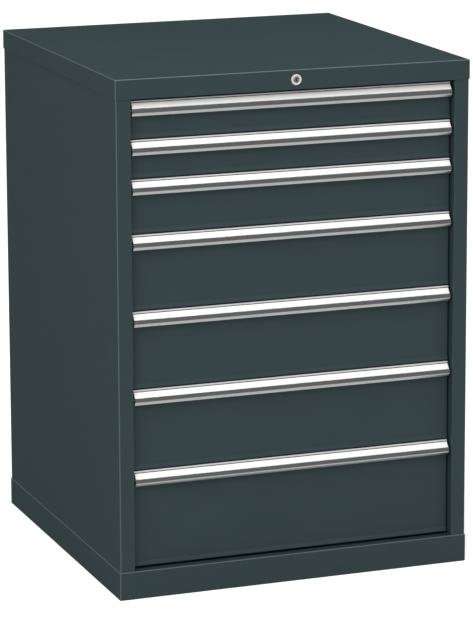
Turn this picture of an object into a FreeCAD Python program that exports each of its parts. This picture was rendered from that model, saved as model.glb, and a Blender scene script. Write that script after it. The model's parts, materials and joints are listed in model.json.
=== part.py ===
import FreeCAD
import Part

import math
import os

# Workshop drawer cabinet: a folded sheet housing, seven drawers on telescopic runners
# and a central lock. Millimetres. X to the right seen from the front, Y to the rear, Z up.
# The origin is on the floor under the middle of the cabinet.

# Overall plan size and the sheet of the housing
width = 717.0
depth = 725.0
skin = 1.5
fold_inner = 0.6  # inside radius of every fold
spare = 1.0  # a cutting solid runs this far past the piece it cuts

# Cover and plinth
cover_drop = 38.0  # height of the cover's side flanges
cover_lip = 20.0  # turned in under the front flange, between the posts
edge_round = 2.0  # outer rounding of the cover's and plinth's edges
plinth_rise = 54.5
plinth_shelf = 45.0  # flange turned in at the top, which the housing stands on
plinth_foot = 30.0  # flange turned in at the bottom, which rests on the floor

# Side panels, each with its front post folded in one piece
post_face = 29.0
post_return = 28.0
post_lip = 12.0
rear_flange = 20.0
back_fold = 12.0
notch_play = 2.0  # round the locking bar in the back panel's fold

# Drawer fronts, from the top one down: each pitch is one front and the gap below it
front_pitches = (74.0, 75.0, 105.0, 147.0, 151.0, 158.0, 190.0)
front_gap = 2.5
gap_under_cover = 4.0
gap_over_plinth = 3.5
front_side_gap = 3.5  # between a front and the post
front_recess = 18.5  # behind the faces of the posts
front_depth = 14.0
front_sheet = 1.25
toe_height = 9.0  # the sloping strip along the foot of each front
toe_out = 3.0
toe_land = 2.0
toe_round = 1.4

# Handle strip: extruded section with a label seat above and a finger grip below
handle_height = 28.5
handle_reach = 15.5
handle_short = 1.1  # the handle ends this far inside the ends of its front
handle_wall = 1.6
handle_lip_out = 5.0
handle_lip_height = 2.6
handle_lip_round = 0.8
groove_out = 3.4  # floor of the groove between the lip and the label strip
seat_start = (5.1, 4.1)  # out from the front, down from the top
seat_end = (12.4, 14.2)
web_drop = 15.2  # top of the web between the chamber and the finger space
web_round = 0.8
handle_back_drop = 20.0
grip_round = 8.0
grip_middle = 18.8  # drop at which the rounded grip stands out furthest
grip_lean_above = 24.0  # degrees its face leans above there
grip_lean_below = 36.0
bead_round = 0.7
strip_thickness = 0.9
strip_play = 0.25
strip_short = 1.0  # the strip ends this far inside the handle's ends

# Trays
tray_sheet = 1.25
tray_below = 7.0  # floor of the tray above the foot of its front
tray_above = 10.0  # rim of the tray below the top of its front
tray_rim = 8.0
space_behind_trays = 66.5  # clear depth for the locking bar

# Telescopic runners
runner_width = 15.5
runner_height = 45.0
runner_sheet = 1.5
runner_round = 2.0  # outside rounding of the members' folds
runner_play = 1.5  # between the runner and the plane of the post's inner edge
runner_up = 30.0  # middle of the runner above the foot of the front
ball = 3.0  # height of the ball track between two members
web_play = 1.0  # between the webs of two members
flange_short = 2.0
runner_setback = 3.5  # front end of the runners behind the drawer fronts
cabinet_rail_over = 13.5  # rear end of the fixed rail past the tray
middle_rail_setback = 3.0
middle_rail_over = 6.5
inner_rail_under = 6.5

# Slotted uprights and the brackets that hang in them
upright_depth = 14.0
upright_width = 30.0
front_upright_back = 10.0  # behind the posts' lips
rear_upright_front = 21.5  # ahead of the trays' rear walls
slot_width = 6.0
slot_height = 12.0
slot_offset = 11.0  # above and below the middle of each runner
bracket_width = 24.0
bracket_height = 36.0
hook_thickness = 2.0
hook_height = 9.0
hook_reach = 4.0

# Floor panel and back panel
floor_edge = 12.0
floor_front_gap = 3.0
floor_upright_play = 1.0

# Central lock in the cover's front flange
bezel_r = 10.25
bezel_proud = 2.0
bezel_round = 0.8
recess_r = 7.6
recess_depth = 1.0
barrel_r = 8.9
barrel_length = 21.5
barrel_play = 0.1
plug_r = 6.0
plug_play = 0.05
plug_inset = 0.5  # face of the plug behind the bezel's rim
plug_tail = 3.0
plug_round = 0.4
keyway_width = 1.8
keyway_height = 7.6
keyway_depth = 8.0
nut_across = 24.0
nut_height = 4.0

# Lock rod along the top, with the crank that lifts the locking bar
rod_r = 4.0
rod_play = 0.08
crank_radius = 12.0
crank_half_turn = 45.0  # degrees below the horizontal when unlocked
crank_thickness = 4.0
crank_hub_r = 7.0
crank_eye_r = 6.0
crank_arm_width = 10.0
crank_gap = 4.5  # between the crank and the bar
crank_pin_r = 2.5
crank_pin_play = 0.5
crank_pin_past = 0.5

# Locking bar behind the trays
bar_width = 24.0
bar_thickness = 3.0
bar_corner = 3.0
bar_back_gap = 1.5  # between the bar and the back panel
bar_foot_gap = 12.0
bar_head = 4.0  # above the crank's slot
arm_width = 16.0
arm_sheet = 2.5
arm_foot = 16.0
pin_r = 3.0
pin_length = 16.0
pin_setback = 8.5  # behind the tray's rear wall
pin_top_gap = 1.0  # under the catch when locked
pin_round = 1.0
arm_past_pin = 6.0
catch_reach = 20.5
catch_drop = 14.0
catch_width = 32.0
guide_play = 0.5
guide_sheet = 1.5
guide_foot = 12.0
guide_height = 22.0
guide_clear = 1.0
guided_arms = (3, 5, 7)  # a guide sits above the arm of each of these drawers
bracket_sheet = 2.0
rod_bracket_width = 28.0
rod_bracket_ahead = 14.0  # ahead of the crank
rod_bracket_foot = 18.0
rod_bracket_below = 13.0

# Levels and planes that follow from the sizes above
stack_bottom = plinth_rise + gap_over_plinth
stack_top = stack_bottom + sum(front_pitches)
height = stack_top + gap_under_cover + cover_drop
body_x = width / 2 - skin
front_y = -depth / 2 + skin
rear_y = depth / 2 - skin
inner_top = height - skin
opening_x = body_x - post_face
panel_y = front_y + front_recess
panel_x = opening_x - front_side_gap
tray_front_y = panel_y + front_depth
back_y = rear_y - 2 * skin
tray_rear_y = back_y - space_behind_trays
runner_x = opening_x - runner_play
tray_x = runner_x - runner_width
runner_front_y = tray_front_y + runner_setback
upright_x = body_x - skin - upright_depth
front_upright_y = front_y + post_return + front_upright_back
rear_upright_y = tray_rear_y - rear_upright_front
lock_z = height - cover_drop / 2
crank_rise = crank_radius * math.sin(math.radians(crank_half_turn))
crank_near = crank_radius * math.cos(math.radians(crank_half_turn))
lock_travel = 2 * crank_rise
bar_y = back_y - bar_back_gap - bar_thickness
crank_y = bar_y - crank_gap - crank_thickness
bar_x = (crank_near + crank_radius) / 2


class Drawer:
    """Levels of one drawer, counted from the top."""

    def __init__(self, number):
        above = sum(front_pitches[: number - 1])
        self.name = f"drawer_{number}"
        self.top = stack_top - above - front_gap / 2
        self.foot = stack_top - above - front_pitches[number - 1] + front_gap / 2
        self.tray_floor = self.foot + tray_below
        self.rim = self.top - tray_above
        self.runner_z = self.foot + runner_up


drawers = [Drawer(number + 1) for number in range(len(front_pitches))]


def vec(a, b):
    return FreeCAD.Vector(a, b, 0)


def line(a, b):
    return Part.LineSegment(a, b).toShape()


def corner(before, here, after, radius):
    """Start, middle and end of the arc that rounds a corner."""
    into = (here - before).normalize()
    out = (after - here).normalize()
    reach = radius * math.tan(into.getAngle(out) / 2)
    start = here - into * reach
    end = here + out * reach
    inward = (out - into).normalize()
    centre = here + inward * math.hypot(radius, reach)
    return start, centre - inward * radius, end, centre


def outline(points):
    """Face inside a closed outline of (a, b) or (a, b, radius) points."""
    spots = [vec(p[0], p[1]) for p in points]
    radii = [p[2] if len(p) > 2 else 0 for p in points]
    runs = []
    for i, here in enumerate(spots):
        if not radii[i]:
            runs.append((here, None, here))
            continue
        before = spots[i - 1]
        after = spots[(i + 1) % len(spots)]
        start, middle, end, _ = corner(before, here, after, radii[i])
        runs.append((start, middle, end))
    edges = []
    for i, (start, middle, end) in enumerate(runs):
        if middle:
            edges.append(Part.Arc(start, middle, end).toShape())
        following = runs[(i + 1) % len(runs)][0]
        if end.distanceToPoint(following) > 1e-6:
            edges.append(line(end, following))
    return Part.Face(Part.Wire(edges))


def left_of(a, b):
    """Unit vector to the left of the way from a to b."""
    run = (b - a).normalize()
    return FreeCAD.Vector(-run.y, run.x, 0)


def bent(path, thickness):
    """Section as folded() gives it, but with sharp corners, for small pieces out of sight."""
    near = [vec(*p) for p in path]
    sides = [left_of(a, b) for a, b in zip(near, near[1:])]
    far = [near[0] + sides[0] * thickness]
    for here, before, after in zip(near[1:], sides, sides[1:]):
        far.append(here + (before + after) * (thickness / (1 + before.dot(after))))
    far.append(near[-1] + sides[-1] * thickness)
    return outline([(p.x, p.y) for p in near + far[::-1]])


def folded(path, thickness):
    """Section of a folded sheet. The path runs along one face, and the sheet lies on its left."""
    spots = [vec(*p) for p in path]
    near = [spots[0]]
    far = [spots[0] + left_of(spots[0], spots[1]) * thickness]
    near_edges = []
    far_edges = []
    for before, here, after in zip(spots, spots[1:], spots[2:]):
        turns_left = (here - before).cross(after - here).z > 0
        near_r = fold_inner + thickness if turns_left else fold_inner
        far_r = fold_inner if turns_left else fold_inner + thickness
        start, middle, end, centre = corner(before, here, after, near_r)
        scale = far_r / near_r
        other = [centre + (p - centre) * scale for p in (start, middle, end)]
        near_edges += [line(near[-1], start), Part.Arc(start, middle, end).toShape()]
        far_edges += [line(far[-1], other[0]), Part.Arc(*other).toShape()]
        near.append(end)
        far.append(other[2])
    last = spots[-1]
    last_far = last + left_of(spots[-2], last) * thickness
    near_edges.append(line(near[-1], last))
    far_edges.append(line(far[-1], last_far))
    ends = [line(spots[0], far[0]), line(last, last_far)]
    return Part.Face(Part.Wire(Part.__sortEdges__(near_edges + far_edges + ends)))


def along_z(face, low, high):
    """Solid from a section drawn in X and Y."""
    solid = face.extrude(FreeCAD.Vector(0, 0, high - low))
    solid.translate(FreeCAD.Vector(0, 0, low))
    return solid


def along_x(face, low, high):
    """Solid from a section drawn in Y and Z."""
    solid = along_z(face, low, high)
    solid.rotate(FreeCAD.Vector(0, 0, 0), FreeCAD.Vector(1, 1, 1), 120)
    return solid


def along_y(face, low, high):
    """Solid from a section drawn in X and Z."""
    solid = along_z(face, -high, -low)
    solid.rotate(FreeCAD.Vector(0, 0, 0), FreeCAD.Vector(1, 0, 0), 90)
    return solid


def block(x0, x1, y0, y1, z0, z1):
    return Part.makeBox(x1 - x0, y1 - y0, z1 - z0, FreeCAD.Vector(x0, y0, z0))


def rod(radius, x, z, y0, y1):
    """Cylinder along Y."""
    return Part.makeCylinder(
        radius, y1 - y0, FreeCAD.Vector(x, y0, z), FreeCAD.Vector(0, 1, 0)
    )


def mirrored(shape):
    """The same piece for the other side of the cabinet."""
    return shape.mirror(FreeCAD.Vector(0, 0, 0), FreeCAD.Vector(1, 0, 0))


def rounded_box(x, y, z0, z1):
    """Box about the Z axis with all but its bottom edges rounded."""
    box = block(-x, x, -y, y, z0, z1)
    edges = [e for e in box.Edges if e.CenterOfMass.z > z0 + 1e-6]
    return box.makeFillet(edge_round, edges)


def top_cover():
    """Cap with four flanges, a lip under the front one and the hole for the lock."""
    x = width / 2
    y = depth / 2
    low = height - cover_drop
    cap = rounded_box(x, y, low, height)
    cap = cap.cut(block(-body_x, body_x, front_y, rear_y, low - spare, inner_top))
    lip_x = opening_x - runner_play
    lip = block(-lip_x, lip_x, front_y, front_y + cover_lip, low, low + skin)
    hole = rod(barrel_r + barrel_play, 0, lock_z, -y - spare, front_y + spare)
    return cap.fuse(lip).cut(hole).removeSplitter()


def plinth():
    """Base frame with flanges turned in at the top and the bottom."""
    x = width / 2
    y = depth / 2
    frame = rounded_box(x, y, 0, plinth_rise)
    hollow = block(-body_x, body_x, front_y, rear_y, skin, plinth_rise - skin)
    shelf_x = body_x - plinth_shelf
    shelf = block(
        -shelf_x, shelf_x, front_y + plinth_shelf, rear_y - plinth_shelf, skin, plinth_rise
    )
    foot_x = body_x - plinth_foot
    foot = block(
        -foot_x, foot_x, front_y + plinth_foot, rear_y - plinth_foot, 0, skin
    )
    return frame.cut(hollow).cut(shelf).cut(foot)


def side_panel():
    """Right side: rear flange, wall and the post folded round to its inner lip."""
    path = [
        (opening_x + post_lip, front_y + post_return),
        (opening_x, front_y + post_return),
        (opening_x, front_y),
        (body_x, front_y),
        (body_x, rear_y),
        (body_x - rear_flange, rear_y),
    ]
    return along_z(folded(path, skin), plinth_rise, inner_top)


def back_panel():
    """Sheet inside the rear flanges, folded forward along its top.

    The fold is notched through for the raised bar and the crank ahead of it.
    """
    x = body_x - 2 * skin
    path = [
        (back_y + skin, plinth_rise + skin),
        (back_y + skin, inner_top - skin),
        (back_y - back_fold, inner_top - skin),
    ]
    sheet = along_x(folded(path, skin), -x, x)
    half = bar_width / 2 + notch_play
    fold = (inner_top - skin - back_fold, inner_top)
    return sheet.cut(block(bar_x - half, bar_x + half, crank_y - notch_play, back_y, *fold))


def floor_panel():
    """Sheet on the plinth's shelf, with its sides and rear edge turned up."""
    x = body_x - skin
    front = tray_front_y + floor_front_gap
    low = plinth_rise
    pan = block(-x, x, front, back_y, low, low + floor_edge)
    high = low + floor_edge + spare
    pan = pan.cut(block(-x + skin, x - skin, front - spare, back_y - skin, low + skin, high))
    for y in (front_upright_y, rear_upright_y):
        near = y - floor_upright_play
        far = y + upright_width + floor_upright_play
        notch = block(x - skin - spare, x + spare, near, far, low + skin, high)
        pan = pan.cut(notch).cut(mirrored(notch))
    return pan


def upright(y):
    """Right upright channel, slotted where the brackets of the runners hang."""
    wall_x = body_x - skin
    path = [
        (wall_x, y + upright_width),
        (upright_x, y + upright_width),
        (upright_x, y),
        (wall_x, y),
    ]
    channel = along_z(bent(path, skin), plinth_rise + skin, inner_top - 2 * skin)
    middle = y + upright_width / 2
    for drawer in drawers:
        for step in (-slot_offset, slot_offset):
            z = drawer.runner_z + step
            channel = channel.cut(
                block(
                    upright_x - spare,
                    upright_x + skin + spare,
                    middle - slot_width / 2,
                    middle + slot_width / 2,
                    z - slot_height / 2,
                    z + slot_height / 2,
                )
            )
    return channel


def hanging_bracket(y, z):
    """Channel between the fixed rail and the upright, with two hooks."""
    half = bracket_width / 2
    low = z - bracket_height / 2
    high = z + bracket_height / 2
    inner_half = half - runner_sheet
    inner_x = upright_x - runner_sheet
    bracket = block(runner_x, upright_x, y - half, y + half, low, high)
    bracket = bracket.cut(
        block(
            runner_x - spare, inner_x, y - inner_half, y + inner_half, low - spare, high + spare
        )
    )
    for step in (-slot_offset, slot_offset):
        bracket = bracket.fuse(
            block(
                upright_x - runner_sheet / 2,
                upright_x + hook_reach,
                y - hook_thickness / 2,
                y + hook_thickness / 2,
                z + step - hook_height / 2,
                z + step + hook_height / 2,
            )
        )
    return bracket


def channel_section(web_x, tip_x, half, z):
    """C section of a runner member, from the back of its web to the tips of its flanges."""
    inner_x = web_x + math.copysign(runner_sheet, tip_x - web_x)
    inner = half - runner_sheet
    return outline(
        [
            (tip_x, z - half),
            (web_x, z - half, runner_round),
            (web_x, z + half, runner_round),
            (tip_x, z + half),
            (tip_x, z + inner),
            (inner_x, z + inner),
            (inner_x, z - inner),
            (tip_x, z - inner),
        ]
    )


outer_half = runner_height / 2
middle_half = outer_half - runner_sheet - ball
inner_half = middle_half - runner_sheet - ball
middle_web_x = runner_x - runner_sheet - web_play
inner_tip_x = middle_web_x - runner_sheet - web_play


def cabinet_rail(drawer):
    """Right fixed rail with the two brackets that hang it in the uprights."""
    section = channel_section(runner_x, tray_x + flange_short, outer_half, drawer.runner_z)
    rail = along_y(section, runner_front_y, tray_rear_y + cabinet_rail_over)
    for y in (front_upright_y, rear_upright_y):
        rail = rail.fuse(hanging_bracket(y + upright_width / 2, drawer.runner_z))
    return rail.removeSplitter()


def middle_rail(drawer):
    """Right middle member, which travels half as far as the drawer."""
    section = channel_section(
        middle_web_x, tray_x + flange_short + runner_sheet / 2, middle_half, drawer.runner_z
    )
    return along_y(
        section, runner_front_y + middle_rail_setback, tray_rear_y + middle_rail_over
    )


def inner_rail(drawer):
    """Right member on the side of the tray."""
    section = channel_section(tray_x, inner_tip_x, inner_half, drawer.runner_z)
    return along_y(section, runner_front_y, tray_rear_y - inner_rail_under)


def drawer_front(drawer):
    """Folded pan, open to the rear, with the sloping strip along its foot."""
    back = tray_front_y
    toe = drawer.foot + toe_height
    land = drawer.foot + toe_land
    outside = outline(
        [
            (back, drawer.foot),
            (back, drawer.top),
            (panel_y, drawer.top, edge_round),
            (panel_y, toe, edge_round),
            (panel_y - toe_out, land),
            (panel_y - toe_out, drawer.foot, toe_round),
        ]
    )
    face = panel_y + front_sheet
    toe_face = face - toe_out
    inside = outline(
        [
            (back + spare, drawer.foot + front_sheet),
            (back + spare, drawer.top - front_sheet),
            (face, drawer.top - front_sheet, edge_round - front_sheet),
            (face, toe),
            (toe_face, land),
            (toe_face, drawer.foot + front_sheet),
        ]
    )
    x = panel_x - front_sheet
    return along_x(outside, -panel_x, panel_x).cut(along_x(inside, -x, x))


def seat_frame():
    """Direction down the label seat and its outward normal, in (out, down) axes."""
    run_out = seat_end[0] - seat_start[0]
    run_down = seat_end[1] - seat_start[1]
    length = math.hypot(run_out, run_down)
    along = (run_out / length, run_down / length)
    return along, (along[1], -along[0]), length


def handle_face(points, drawer):
    """Face from (out, down) or (out, down, radius) points, seen from the top of the front."""
    return outline([(panel_y - p[0], drawer.top - p[1], *p[2:]) for p in points])


def meeting(start, heading, other_start, other_heading):
    """Where two lines in the section meet."""
    cross = heading[0] * other_heading[1] - heading[1] * other_heading[0]
    gap = (other_start[0] - start[0], other_start[1] - start[1])
    run = (gap[0] * other_heading[1] - gap[1] * other_heading[0]) / cross
    return start[0] + heading[0] * run, start[1] + heading[1] * run


def grip_corner():
    """Where the flat faces above and below the rounded grip would meet."""
    half = math.radians(grip_lean_above + grip_lean_below) / 2
    middle = math.radians(grip_lean_below - grip_lean_above) / 2
    reach = grip_round / math.cos(half)
    out = handle_reach - grip_round + reach * math.cos(middle)
    return out, grip_middle + reach * math.sin(middle)


def handle_outline():
    """Outside of the section, from the top of its back round to the foot of its back."""
    _, normal, _ = seat_frame()
    corner_point = grip_corner()
    above = math.radians(grip_lean_above)
    below = math.radians(grip_lean_below)
    seat_rim = meeting(
        seat_end, normal, corner_point, (math.sin(above), math.cos(above))
    )
    tip = meeting(
        corner_point, (-math.sin(below), math.cos(below)), (0, handle_height), (1, 0)
    )
    inner_x = handle_reach - handle_wall
    inner_round = grip_round - handle_wall
    inner_turn = grip_middle + inner_round * math.tan(below / 2)
    inner_tip = (
        tip[0] - handle_wall * math.cos(below),
        tip[1] - handle_wall * math.sin(below),
    )
    web_under = web_drop + handle_wall
    return [
        (0, 0),
        (handle_lip_out, 0, handle_lip_round),
        (handle_lip_out, handle_lip_height),
        (groove_out, handle_lip_height),
        (groove_out, seat_start[1]),
        seat_start,
        seat_end,
        seat_rim,
        (*corner_point, grip_round),
        (*tip, bead_round),
        (*inner_tip, bead_round),
        (inner_x, inner_turn, inner_round),
        (inner_x, web_under),
        (handle_wall, web_under, web_round),
        (handle_wall, handle_back_drop),
        (0, handle_back_drop),
    ]


def handle_chamber():
    """Hollow between the back, the seat and the web."""
    along, normal, _ = seat_frame()
    under_seat = (
        seat_start[0] - normal[0] * handle_wall,
        seat_start[1] - normal[1] * handle_wall,
    )
    top = meeting(under_seat, along, (handle_wall, 0), (0, 1))
    front = meeting(under_seat, along, (0, web_drop), (1, 0))
    return [top, front, (handle_wall, web_drop)]


def handle(drawer):
    """Extruded strip: lip, groove, label seat over a hollow chamber, and the rounded grip."""
    x = panel_x - handle_short
    strip = along_x(handle_face(handle_outline(), drawer), -x, x)
    chamber = handle_face(handle_chamber(), drawer)
    return strip.cut(along_x(chamber, -x - spare, x + spare))


def label_strip(drawer):
    """Label strip and its clear cover, held on the seat between the two lips."""
    along, normal, length = seat_frame()

    def spot(distance, rise):
        return (
            seat_start[0] + along[0] * distance + normal[0] * rise,
            seat_start[1] + along[1] * distance + normal[1] * rise,
        )

    far = length - strip_play
    section = handle_face(
        [
            spot(strip_play, 0),
            spot(strip_play, strip_thickness),
            spot(far, strip_thickness),
            spot(far, 0),
        ],
        drawer,
    )
    x = panel_x - handle_short - strip_short
    return along_x(section, -x, x)


def lock_catch(drawer):
    """Tab behind the tray's rear wall, turned down to meet the locking pin."""
    reach = tray_rear_y + catch_reach
    path = [
        (reach, drawer.rim - tray_sheet - catch_drop),
        (reach, drawer.rim),
        (tray_rear_y - tray_sheet / 2, drawer.rim),
    ]
    half = catch_width / 2
    return along_x(bent(path, tray_sheet), bar_x - half, bar_x + half)


def tray(drawer):
    """Folded tray with turned-out rims, end walls and the lock catch."""
    inner_x = tray_x - tray_sheet
    inner_floor = drawer.tray_floor + tray_sheet
    rim_x = tray_x + tray_rim
    path = [
        (rim_x, drawer.rim),
        (inner_x, drawer.rim),
        (inner_x, inner_floor),
        (-inner_x, inner_floor),
        (-inner_x, drawer.rim),
        (-rim_x, drawer.rim),
    ]
    pan = along_y(folded(path, tray_sheet), tray_front_y, tray_rear_y)
    low = drawer.tray_floor + tray_sheet / 2
    for y in (tray_front_y, tray_rear_y - tray_sheet):
        pan = pan.fuse(block(-inner_x, inner_x, y, y + tray_sheet, low, drawer.rim))
    return pan.fuse(lock_catch(drawer)).removeSplitter()


def lock_housing():
    """Barrel with its bezel, turned about the lock's axis."""
    face_y = -depth / 2
    front = face_y - bezel_proud
    bore = plug_r + plug_play
    section = outline(
        [
            (bore, face_y - bezel_proud + recess_depth),
            (recess_r, face_y - bezel_proud + recess_depth),
            (recess_r, front),
            (bezel_r, front, bezel_round),
            (bezel_r, face_y),
            (barrel_r, face_y),
            (barrel_r, face_y + barrel_length),
            (bore, face_y + barrel_length),
        ]
    )
    body = section.revolve(FreeCAD.Vector(0, 0, 0), FreeCAD.Vector(0, 1, 0), 360)
    body.translate(FreeCAD.Vector(0, 0, lock_z))
    return body


def lock_nut():
    """Hexagon nut behind the cover's flange."""
    corner_r = nut_across / math.sqrt(3)
    angles = [math.radians(60 * i + 30) for i in range(6)]
    section = outline([(corner_r * math.cos(a), lock_z + corner_r * math.sin(a)) for a in angles])
    rear = front_y + nut_height
    nut = along_y(section, front_y, rear)
    return nut.cut(rod(barrel_r + barrel_play, 0, lock_z, front_y - spare, rear + spare))


def lock_plug():
    """Turning plug with its keyway."""
    front = -depth / 2 - bezel_proud + plug_inset
    rear = -depth / 2 + barrel_length + plug_tail
    plug = rod(plug_r, 0, lock_z, front, rear)
    rim = [e for e in plug.Edges if abs(e.CenterOfMass.y - front) < 1e-6 and e.Closed]
    plug = plug.makeFillet(plug_round, rim)
    half_w = keyway_width / 2
    half_h = keyway_height / 2
    low = lock_z - half_h
    return plug.cut(
        block(-half_w, half_w, front - spare, front + keyway_depth, low, low + keyway_height)
    )


def crank_pin_place():
    """Centre of the crank's pin with the lock open."""
    return crank_near, lock_z - crank_rise


def lock_rod():
    """Rod from the plug to the rear, with the crank and its pin."""
    front = -depth / 2 + barrel_length + plug_tail
    pin_x, pin_z = crank_pin_place()
    shaft = rod(rod_r, 0, lock_z, front, crank_y + crank_thickness)
    hub = rod(crank_hub_r, 0, lock_z, crank_y, crank_y + crank_thickness)
    eye = rod(crank_eye_r, pin_x, pin_z, crank_y, crank_y + crank_thickness)
    half = crank_arm_width / 2
    arm = block(0, crank_radius, crank_y, crank_y + crank_thickness, lock_z - half, lock_z + half)
    arm.rotate(
        FreeCAD.Vector(0, 0, lock_z), FreeCAD.Vector(0, -1, 0), -crank_half_turn
    )
    pin = rod(
        crank_pin_r, pin_x, pin_z, crank_y, bar_y + bar_thickness + crank_pin_past
    )
    return shaft.fuse([hub, eye, arm, pin]).removeSplitter()


def locking_bar():
    """Flat bar with the cross slot that the crank's pin lifts it by."""
    _, pin_z = crank_pin_place()
    half = bar_width / 2
    radius = crank_pin_r + crank_pin_play
    top = pin_z + radius + bar_head
    foot = plinth_rise + skin + bar_foot_gap
    section = outline(
        [
            (bar_x - half, foot, bar_corner),
            (bar_x + half, foot, bar_corner),
            (bar_x + half, top, bar_corner),
            (bar_x - half, top, bar_corner),
        ]
    )
    bar = along_y(section, bar_y, bar_y + bar_thickness)
    ahead = bar_y - spare
    behind = bar_y + bar_thickness + spare
    slot = block(crank_near, crank_radius, ahead, behind, pin_z - radius, pin_z + radius)
    for x in (crank_near, crank_radius):
        slot = slot.fuse(rod(radius, x, pin_z, ahead, behind))
    return bar.cut(slot)


def arm_level(drawer):
    """Top of the arm that carries this drawer's pin, with the lock open."""
    catch_under = drawer.rim - tray_sheet
    return catch_under - pin_top_gap - lock_travel - pin_length


def locking_arm(drawer):
    """Angle on the bar that reaches under the drawer's catch."""
    top = arm_level(drawer)
    tip = tray_rear_y + pin_setback - arm_past_pin
    path = [(bar_y, top - arm_foot), (bar_y, top), (tip, top)]
    half = arm_width / 2
    return along_x(bent(path, arm_sheet), bar_x - half, bar_x + half)


def locking_pin(drawer):
    """Pin that rises behind the drawer's catch when the bar is lifted."""
    pin = Part.makeCylinder(
        pin_r, pin_length, FreeCAD.Vector(bar_x, tray_rear_y + pin_setback, arm_level(drawer))
    )
    top = arm_level(drawer) + pin_length
    rim = [e for e in pin.Edges if abs(e.CenterOfMass.z - top) < 1e-6 and e.Closed]
    return pin.makeChamfer(pin_round, rim)


def bar_guide(number):
    """Strap on the back panel, midway between the raised arm of one drawer and the arm above."""
    raised = arm_level(drawers[number - 1]) + lock_travel
    above = arm_level(drawers[number - 2]) - arm_foot
    z = (raised + above - guide_height) / 2
    left = bar_x - bar_width / 2 - guide_play - guide_sheet
    right = bar_x + bar_width / 2 + guide_play + guide_sheet
    strap = bar_y - guide_clear - guide_sheet
    foot = back_y - guide_sheet
    path = [
        (left - guide_foot, foot),
        (left, foot),
        (left, strap),
        (right, strap),
        (right, foot),
        (right + guide_foot, foot),
    ]
    return along_z(bent(path, guide_sheet), z, z + guide_height)


def rod_bracket():
    """Angle under the cover that carries the rear end of the lock rod."""
    y = crank_y - rod_bracket_ahead
    path = [
        (y, lock_z - rod_bracket_below),
        (y, inner_top),
        (y - rod_bracket_foot, inner_top),
    ]
    half = rod_bracket_width / 2
    angle = along_x(bent(path, bracket_sheet), -half, half)
    return angle.cut(rod(rod_r + rod_play, 0, lock_z, y - bracket_sheet - spare, y + spare))


def group(solids):
    """Separate solids that share one node."""
    return Part.makeCompound(solids)


def pair(solid):
    """A piece for the right side and its mirror image for the left."""
    return group([solid, mirrored(solid)])


pieces = {
    "top_cover": top_cover(),
    "plinth": plinth(),
    "side_panel_right": side_panel(),
    "side_panel_left": mirrored(side_panel()),
    "back_panel": back_panel(),
    "floor_panel": floor_panel(),
    "front_uprights": pair(upright(front_upright_y)),
    "rear_uprights": pair(upright(rear_upright_y)),
    "cabinet_rails_right": group([cabinet_rail(d) for d in drawers]),
    "cabinet_rails_left": group([mirrored(cabinet_rail(d)) for d in drawers]),
    "lock_housing": lock_housing(),
    "lock_nut": lock_nut(),
    "lock_plug": lock_plug(),
    "lock_rod": lock_rod(),
    "lock_guides": group([bar_guide(number) for number in guided_arms] + [rod_bracket()]),
    "locking_bar": locking_bar(),
    "locking_arms": group([locking_arm(d) for d in drawers]),
    "locking_pins": group([locking_pin(d) for d in drawers]),
}
for drawer in drawers:
    pieces[f"{drawer.name}_front"] = drawer_front(drawer)
    pieces[f"{drawer.name}_tray"] = tray(drawer)
    pieces[f"{drawer.name}_handle"] = handle(drawer)
    pieces[f"{drawer.name}_label_strip"] = label_strip(drawer)
    pieces[f"{drawer.name}_inner_rails"] = pair(inner_rail(drawer))
    pieces[f"{drawer.name}_middle_rails"] = pair(middle_rail(drawer))

os.makedirs("parts", exist_ok=True)
for name, shape in pieces.items():
    shape.exportStep(f"parts/{name}.step")
print(f"{len(pieces)} pieces, {width} x {depth} x {height} mm")
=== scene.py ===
import json
import math

import bpy
from mathutils import Euler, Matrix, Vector


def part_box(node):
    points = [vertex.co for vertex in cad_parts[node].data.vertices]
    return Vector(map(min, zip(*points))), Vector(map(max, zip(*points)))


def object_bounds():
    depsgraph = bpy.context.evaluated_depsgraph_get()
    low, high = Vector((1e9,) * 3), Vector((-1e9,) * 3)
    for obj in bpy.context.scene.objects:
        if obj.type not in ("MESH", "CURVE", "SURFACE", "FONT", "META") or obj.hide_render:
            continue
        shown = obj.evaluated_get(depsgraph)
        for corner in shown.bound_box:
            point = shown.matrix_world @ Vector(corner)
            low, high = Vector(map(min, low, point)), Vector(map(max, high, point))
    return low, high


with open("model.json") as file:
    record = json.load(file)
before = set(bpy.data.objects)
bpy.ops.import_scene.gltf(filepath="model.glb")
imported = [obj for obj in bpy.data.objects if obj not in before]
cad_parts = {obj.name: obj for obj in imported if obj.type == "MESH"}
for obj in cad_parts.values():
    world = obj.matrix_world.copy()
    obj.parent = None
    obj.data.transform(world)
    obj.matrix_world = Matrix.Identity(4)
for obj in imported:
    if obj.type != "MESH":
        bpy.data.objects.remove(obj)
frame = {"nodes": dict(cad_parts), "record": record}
cad_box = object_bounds()

MM = 0.001
WHITE = "#FFFFFF"

# Camera at the photograph's viewing angle: metres, degrees and millimetres of lens
CAMERA_PLACE = (-2.2474, -6.0910, 1.9327)
CAMERA_YAW = 21.46
CAMERA_PITCH = 11.49
CAMERA_LENS = 192.2
CAMERA_SHIFT = (-0.10, -0.12)

# Lamps: place and side in metres, power in watts
LAMPS = {
    "key": ((-2.9, -3.1, 3.9), 2.4, 88.0),
    "overhead": ((0.2, -0.9, 4.5), 2.6, 52.0),
}
SKY_AS_LIGHT = 0.85  # where the sky is seen or reflected, it is 1

# Floor and flags, in metres
FLOOR_TONE = "#E6E6E6"
FLOOR_LIFT = 0.45  # what the camera sees added to the lit floor, to bring it to white
STAGE_HALF = 30.0  # half the side of the floor and of the flag under it
FLAG_DISTANCE = 3.0  # in front of the cabinet and behind it
FLAG_ASIDE = 5.0
FLAG_LOW = -3.6
FLAG_HIGH = 4.6

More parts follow.
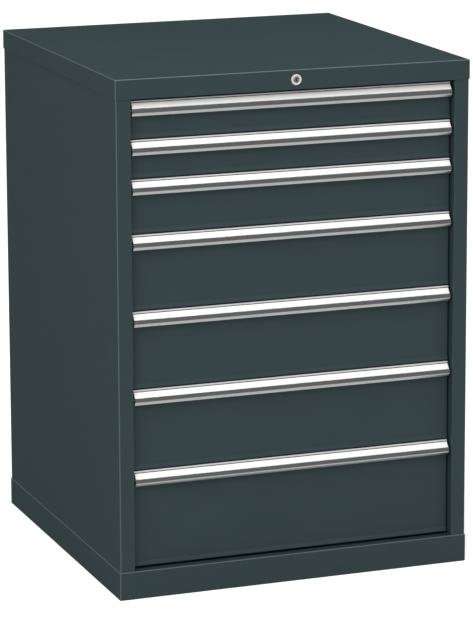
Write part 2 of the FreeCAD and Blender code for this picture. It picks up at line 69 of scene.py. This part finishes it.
# Patterns of the finishes, by the size of their features. The orange peel, draw lines, polishing
# marks and paper fibre are finer on the real surfaces, and as coarse here as they need to show.
PEEL_SIZE = 1.6 * MM
PEEL_DEPTH = 0.02 * MM
COAT_CLOUD = 60 * MM
COAT_GIVE = 0.02  # how far the coat's roughness strays to either side
ZINC_CLOUD = 9 * MM
ZINC_DEPTH = 0.01 * MM
DRAW_WIDTH = 0.5 * MM
DRAW_LENGTH = 60 * MM
DRAW_DETAIL = 3.0
DRAW_DEPTH = 0.005 * MM
POLISH_SIZE = 0.5 * MM
POLISH_DEPTH = 0.004 * MM
POLISH_GIVE = 0.04
FIBRE_SIZE = 0.8 * MM
FIBRE_DEPTH = 0.005 * MM
NOISE_LOW, NOISE_HIGH = 0.35, 0.65  # most of a noise's values lie between these

# Powder coats: dark tone, light tone and roughness
ANTHRACITE = ("#2E3F42", "#2F4043", 0.36)
TRAY_ANTHRACITE = ("#2B3A3E", "#2E3D41", 0.44)
# Painted highlight: a lighter tone along the outer bends of the big panels, for the light they
# catch
BEND_HIGHLIGHT_TONE = "#5F6C70"
BEND_HIGHLIGHT_WIDTH = 2.0 * MM
# Metres by which a panel's two box corners are moved, so that only its bends lie on the box
BEND_STRETCH = {
    "top_cover": ((0, 0, -1), (0, 0, 0)),
    "plinth": ((0, 0, -1), (0, 0, 0)),
    "side_panel_left": ((0, 0, -1), (1, 1, 1)),
    "side_panel_right": ((-1, 0, -1), (0, 1, 1)),
}

# Handles: shares of their height where the groove over the label starts, and the lip over it
GROOVE_FROM = 0.868
LIP_FROM = 0.915
# Painted shade: the groove is painted darker, standing in for the shade that falls into it
GROOVE_PAINTED_SHADE = "#4A4C4E"
EDGE_ROUND = 1.2 * MM
EDGE_SAMPLES = 8

# Nickel of the lock's plug and nut, and the paler pearl nickel of its bezel
NICKEL_METALLIC = 1.0
PEARL_METALLIC = 0.35
NICKEL_ROUGHNESS = 0.36

# A Mix node's sockets for colours, which share their names with its other sockets
MIX_FACTOR, MIX_A, MIX_B = 0, 6, 7
MIX_RESULT = 2


def linear(hex_colour):
    """sRGB hex to linear red, green, blue and alpha."""
    channels = [int(hex_colour[i : i + 2], 16) / 255 for i in (1, 3, 5)]
    return [c / 12.92 if c <= 0.04045 else ((c + 0.055) / 1.055) ** 2.4 for c in channels] + [1.0]


def add_node(tree, kind, settings=None, links=None):
    """One node with its settings, by attribute or socket, and its linked inputs.

    A link comes from a socket, or from the first output of a node.
    """
    node = tree.nodes.new("ShaderNode" + kind)
    for name, value in (settings or {}).items():
        if isinstance(name, str) and hasattr(node, name):
            setattr(node, name, value)
        else:
            node.inputs[name].default_value = value
    for name, source in (links or {}).items():
        socket = source.outputs[0] if isinstance(source, bpy.types.Node) else source
        tree.links.new(socket, node.inputs[name])
    return node


def empty_tree(owner):
    """The node tree of a material or a world, with nothing in it."""
    owner.use_nodes = True
    owner.node_tree.nodes.clear()
    return owner.node_tree


def new_material(name):
    """Material, its tree and its object coordinates, which at rest are metres in the row frame."""
    material = bpy.data.materials.new(name)
    tree = empty_tree(material)
    return material, tree, add_node(tree, "TexCoord").outputs["Object"]


def finish_surface(tree, settings, links):
    """The surface shader joined to the material's output."""
    shader = add_node(tree, "BsdfPrincipled", settings, links)
    add_node(tree, "OutputMaterial", links={"Surface": shader})


def grain(tree, place, size, stretch=(1, 1, 1), detail=2.0):
    """Noise whose features measure size metres, drawn out along an axis scaled under 1."""
    mapping = add_node(tree, "Mapping", {"Scale": stretch}, {"Vector": place})
    settings = {"Scale": 1 / size, "Detail": detail}
    return add_node(tree, "TexNoise", settings, {"Vector": mapping})


def tones(tree, pattern, dark, light):
    """Colour that follows a pattern between two tones of one finish."""
    ends = {"From Min": NOISE_LOW, "From Max": NOISE_HIGH}
    share = add_node(tree, "MapRange", ends, {"Value": pattern})
    colours = {"data_type": "RGBA", MIX_A: linear(dark), MIX_B: linear(light)}
    return add_node(tree, "Mix", colours, {MIX_FACTOR: share}).outputs[MIX_RESULT]


def bend_highlight_mask(tree, place, low, high):
    """1 along the box's edges between two corners, falling to 0 within the painted highlight's
    width.

    A point lies on an edge where two of its three distances to the box's nearest faces are 0,
    so the middle one of the three tells how far away the edge is.
    """
    middle, half = (low + high) / 2, (high - low) / 2
    offset = add_node(tree, "VectorMath", {"operation": "SUBTRACT", 1: middle}, {0: place})
    apart = add_node(tree, "VectorMath", {"operation": "ABSOLUTE"}, {0: offset})
    inward = add_node(tree, "VectorMath", {"operation": "SUBTRACT", 0: half}, {1: apart})
    x, y, z = add_node(tree, "SeparateXYZ", links={0: inward}).outputs
    nearer = add_node(tree, "Math", {"operation": "MINIMUM"}, {0: x, 1: y})
    farther = add_node(tree, "Math", {"operation": "MAXIMUM"}, {0: x, 1: y})
    up_to_z = add_node(tree, "Math", {"operation": "MINIMUM"}, {0: farther, 1: z})
    edge = add_node(tree, "Math", {"operation": "MAXIMUM"}, {0: nearer, 1: up_to_z})
    fall = {"From Max": BEND_HIGHLIGHT_WIDTH, "To Min": 1.0, "To Max": 0.0}
    return add_node(tree, "MapRange", fall, {"Value": edge})


def polyester_powder(name, dark, light, roughness, bends=None):
    """Powder-coated sheet: a fine orange peel left as the polyester flows out in the oven.

    The real grain is about 0.3 mm. The outer bends of the big panels get a painted highlight.
    """
    material, tree, place = new_material(name)
    peel = grain(tree, place, PEEL_SIZE)
    cloud = grain(tree, place, COAT_CLOUD)
    colour = tones(tree, cloud, dark, light)
    # painted highlight: the bends are mixed towards a lighter tone, standing in for the light they
    # catch
    if bends:
        lines = bend_highlight_mask(tree, place, *bends)
        painted_bend_highlight = {"data_type": "RGBA", MIX_B: linear(BEND_HIGHLIGHT_TONE)}
        mix = add_node(tree, "Mix", painted_bend_highlight, {MIX_FACTOR: lines, MIX_A: colour})
        colour = mix.outputs[MIX_RESULT]
    ends = {"To Min": roughness - COAT_GIVE, "To Max": roughness + COAT_GIVE}
    finish_surface(
        tree,
        {"Metallic": 0.0, "IOR": 1.5},
        {
            "Base Color": colour,
            "Roughness": add_node(tree, "MapRange", ends, {"Value": cloud}),
            "Normal": add_node(tree, "Bump", {"Distance": PEEL_DEPTH}, {"Height": peel}),
        },
    )
    return material


def anodised_aluminium():
    """Satin-anodised extrusion with faint draw lines along its length.

    Its upper lip is etched matt, which scatters the light. The groove below is painted shade.
    """
    material, tree, place = new_material("anodised_aluminium")
    in_box = add_node(tree, "TexCoord").outputs["Generated"]
    level = add_node(tree, "SeparateXYZ", links={0: in_box}).outputs["Z"]
    lip, over_label = (
        add_node(tree, "Math", {"operation": "GREATER_THAN", 1: share}, {0: level})
        for share in (LIP_FROM, GROOVE_FROM)
    )
    groove = add_node(tree, "Math", {"operation": "SUBTRACT"}, {0: over_label, 1: lip})
    lines = grain(tree, place, DRAW_WIDTH, (DRAW_WIDTH / DRAW_LENGTH, 1, 1), DRAW_DETAIL)
    drawn = tones(tree, lines, "#D6D8D9", "#E4E5E6")
    # painted shade: a darker tone in the groove, for the shade that falls into it
    painted_groove_shade = {"data_type": "RGBA", MIX_B: linear(GROOVE_PAINTED_SHADE)}
    colour = add_node(tree, "Mix", painted_groove_shade, {MIX_FACTOR: groove, MIX_A: drawn})
    metallic = {"To Min": 1.0, "To Max": 0.2}
    roughness = {"To Min": 0.18, "To Max": 0.50}
    eased = add_node(tree, "Bevel", {"samples": EDGE_SAMPLES, "Radius": EDGE_ROUND})
    relief = add_node(tree, "Bump", {"Distance": DRAW_DEPTH}, {"Height": lines, "Normal": eased})
    finish_surface(
        tree,
        {},
        {
            "Base Color": colour.outputs[MIX_RESULT],
            "Metallic": add_node(tree, "MapRange", metallic, {"Value": lip}),
            "Roughness": add_node(tree, "MapRange", roughness, {"Value": lip}),
            "Normal": relief,
        },
    )
    return material


def zinc_plate():
    """Bright zinc-plated steel: a cool, slightly clouded grey."""
    material, tree, place = new_material("zinc_plate")
    cloud = grain(tree, place, ZINC_CLOUD)
    roughness = {"To Min": 0.30, "To Max": 0.42}
    finish_surface(
        tree,
        {"Metallic": 1.0},
        {
            "Base Color": tones(tree, cloud, "#A9AEB2", "#C3C7CA"),
            "Roughness": add_node(tree, "MapRange", roughness, {"Value": cloud}),
            "Normal": add_node(tree, "Bump", {"Distance": ZINC_DEPTH}, {"Height": cloud}),
        },
    )
    return material


def label_paper():
    """White card under a clear cover, which gives it a soft gloss."""
    material, tree, place = new_material("label_paper")
    fibre = grain(tree, place, FIBRE_SIZE)
    finish_surface(
        tree,
        {"Roughness": 0.5, "IOR": 1.5, "Coat Weight": 0.5, "Coat Roughness": 0.12},
        {
            "Base Color": tones(tree, fibre, "#F4F4F2", "#F9F9F7"),
            "Normal": add_node(tree, "Bump", {"Distance": FIBRE_DEPTH}, {"Height": fibre}),
        },
    )
    return material


def nickel_plate(name, metallic):
    """Nickel-plated zinc casting: smooth and bright, with faint polishing marks.

    Pearl nickel is less metallic, because its velvety surface scatters the light.
    """
    material, tree, place = new_material(name)
    polish = grain(tree, place, POLISH_SIZE)
    ends = {"To Min": NICKEL_ROUGHNESS - POLISH_GIVE, "To Max": NICKEL_ROUGHNESS + POLISH_GIVE}
    finish_surface(
        tree,
        {"Metallic": metallic},
        {
            "Base Color": tones(tree, polish, "#E4E2DE", "#EEEDEA"),
            "Roughness": add_node(tree, "MapRange", ends, {"Value": polish}),
            "Normal": add_node(tree, "Bump", {"Distance": POLISH_DEPTH}, {"Height": polish}),
        },
    )
    return material


def slot_finishes():
    """The finish of each of the record's material slots."""
    return {
        "powder_coat": polyester_powder("powder_coat_anthracite", *ANTHRACITE),
        "tray_coat": polyester_powder("powder_coat_tray", *TRAY_ANTHRACITE),
        "aluminium": anodised_aluminium(),
        "label_strip": label_paper(),
        "zinc_steel": zinc_plate(),
        "nickel": nickel_plate("nickel_plate", NICKEL_METALLIC),
    }


def own_finishes():
    """Nodes with their own finish: panels with painted highlights on their bends, the lock's
    bezel.
    """
    own = {}
    for panel, stretch in BEND_STRETCH.items():
        bends = [corner + Vector(by) for corner, by in zip(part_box(panel), stretch)]
        own[panel] = polyester_powder("powder_coat_" + panel, *ANTHRACITE, bends)
    own["lock_housing"] = nickel_plate("nickel_pearl", PEARL_METALLIC)
    return own


def finish_nodes():
    """Every CAD node gets its own finish, or else the one of its slot."""
    by_slot = slot_finishes()
    by_node = own_finishes()
    for row in frame["record"]["subparts"]:
        node = frame["nodes"][row["node"]]
        node.data.materials.clear()
        node.data.materials.append(by_node.get(row["node"], by_slot[row["material_slot"]]))


def floor_material():
    """Matt card that the camera sees lifted towards white, so that it keeps its shadow."""
    material = bpy.data.materials.new("floor_card")
    tree = empty_tree(material)
    seen = add_node(tree, "LightPath").outputs["Is Camera Ray"]
    glow = add_node(tree, "Math", {"operation": "MULTIPLY", 1: FLOOR_LIFT}, {0: seen})
    matt = add_node(tree, "BsdfDiffuse", {"Color": linear(FLOOR_TONE)})
    light = add_node(tree, "Emission", {"Color": linear(WHITE)}, {"Strength": glow})
    both = add_node(tree, "AddShader", links={0: matt, 1: light})
    add_node(tree, "OutputMaterial", links={"Surface": both})
    return material


def card(name, corners, material):
    """Flat card of the studio."""
    mesh = bpy.data.meshes.new(name)
    mesh.from_pydata(corners, [], [range(len(corners))])
    mesh.materials.append(material)
    made = bpy.data.objects.new(name, mesh)
    bpy.context.scene.collection.objects.link(made)
    return made


def flag(name, corners, colour):
    """Card of one plain tone that only reflections see."""
    material = bpy.data.materials.new(name)
    tree = empty_tree(material)
    tone = add_node(tree, "Emission", {"Color": linear(colour)})
    add_node(tree, "OutputMaterial", links={"Surface": tone})
    made = card(name, corners, material)
    made.visible_camera = False
    made.visible_diffuse = False
    made.visible_shadow = False


def level_square(height):
    """Corners of the floor, or of a card as large at another height."""
    turns = ((-1, -1), (1, -1), (1, 1), (-1, 1))
    return [(x * STAGE_HALF, y * STAGE_HALF, height) for x, y in turns]


def upright(start, end, y):
    """Corners of an upright flag between two places across the cabinet."""
    return [(start, y, FLAG_LOW), (end, y, FLAG_LOW), (end, y, FLAG_HIGH), (start, y, FLAG_HIGH)]


def softbox(name, place, side, power):
    """Square lamp turned to the middle of the object."""
    light = bpy.data.lights.new(name, "AREA")
    light.shape = "SQUARE"
    light.size = side
    light.energy = power
    lamp = bpy.data.objects.new(name, light)
    lamp.location = place
    middle = (cad_box[0] + cad_box[1]) / 2
    lamp.rotation_euler = (middle - lamp.location).to_track_quat("-Z", "Y").to_euler()
    bpy.context.scene.collection.objects.link(lamp)


def studio():
    """White floor, two lamps, and grey flags for the bright metal to reflect."""
    floor = card("floor", level_square(0), floor_material())
    floor.visible_glossy = False  # reflections see the flag under it
    front = cad_box[0].y - FLAG_DISTANCE
    back = cad_box[1].y + FLAG_DISTANCE
    flag("flag_front", upright(-FLAG_ASIDE, FLAG_ASIDE, front), "#6C6C6C")
    flag("flag_back_right", upright(FLAG_ASIDE, 0, back), "#2A2A2A")
    flag("flag_back_left", upright(0, -FLAG_ASIDE, back), "#4A4A4A")
    flag("flag_under", level_square(FLAG_LOW), "#CCCCCC")
    for name, (place, side, power) in LAMPS.items():
        softbox(name, place, side, power)


def sky():
    """White to the camera and in reflections, and a little less as light."""
    world = bpy.data.worlds.new("sky")
    bpy.context.scene.world = world
    tree = empty_tree(world)
    path = add_node(tree, "LightPath").outputs
    seen = path["Is Camera Ray"]
    for ray in ("Is Glossy Ray", "Is Transmission Ray"):
        seen = add_node(tree, "Math", {"operation": "MAXIMUM"}, {0: seen, 1: path[ray]})
    ends = {"To Min": SKY_AS_LIGHT, "To Max": 1.0}
    strength = add_node(tree, "MapRange", ends, {"Value": seen})
    background = add_node(tree, "Background", {"Color": linear(WHITE)}, {"Strength": strength})
    add_node(tree, "OutputWorld", links={"Surface": background})


def camera():
    """Looks down on the front and the left side, as the photograph does."""
    data = bpy.data.cameras.new("camera")
    data.lens = CAMERA_LENS
    data.shift_x, data.shift_y = CAMERA_SHIFT
    made = bpy.data.objects.new("camera", data)
    made.location = CAMERA_PLACE
    made.rotation_euler = Euler(
        (math.radians(90 - CAMERA_PITCH), 0, math.radians(-CAMERA_YAW))
    )
    bpy.context.scene.collection.objects.link(made)
    bpy.context.scene.camera = made


finish_nodes()
studio()
sky()
camera()
bpy.context.scene.view_settings.view_transform = "Standard"
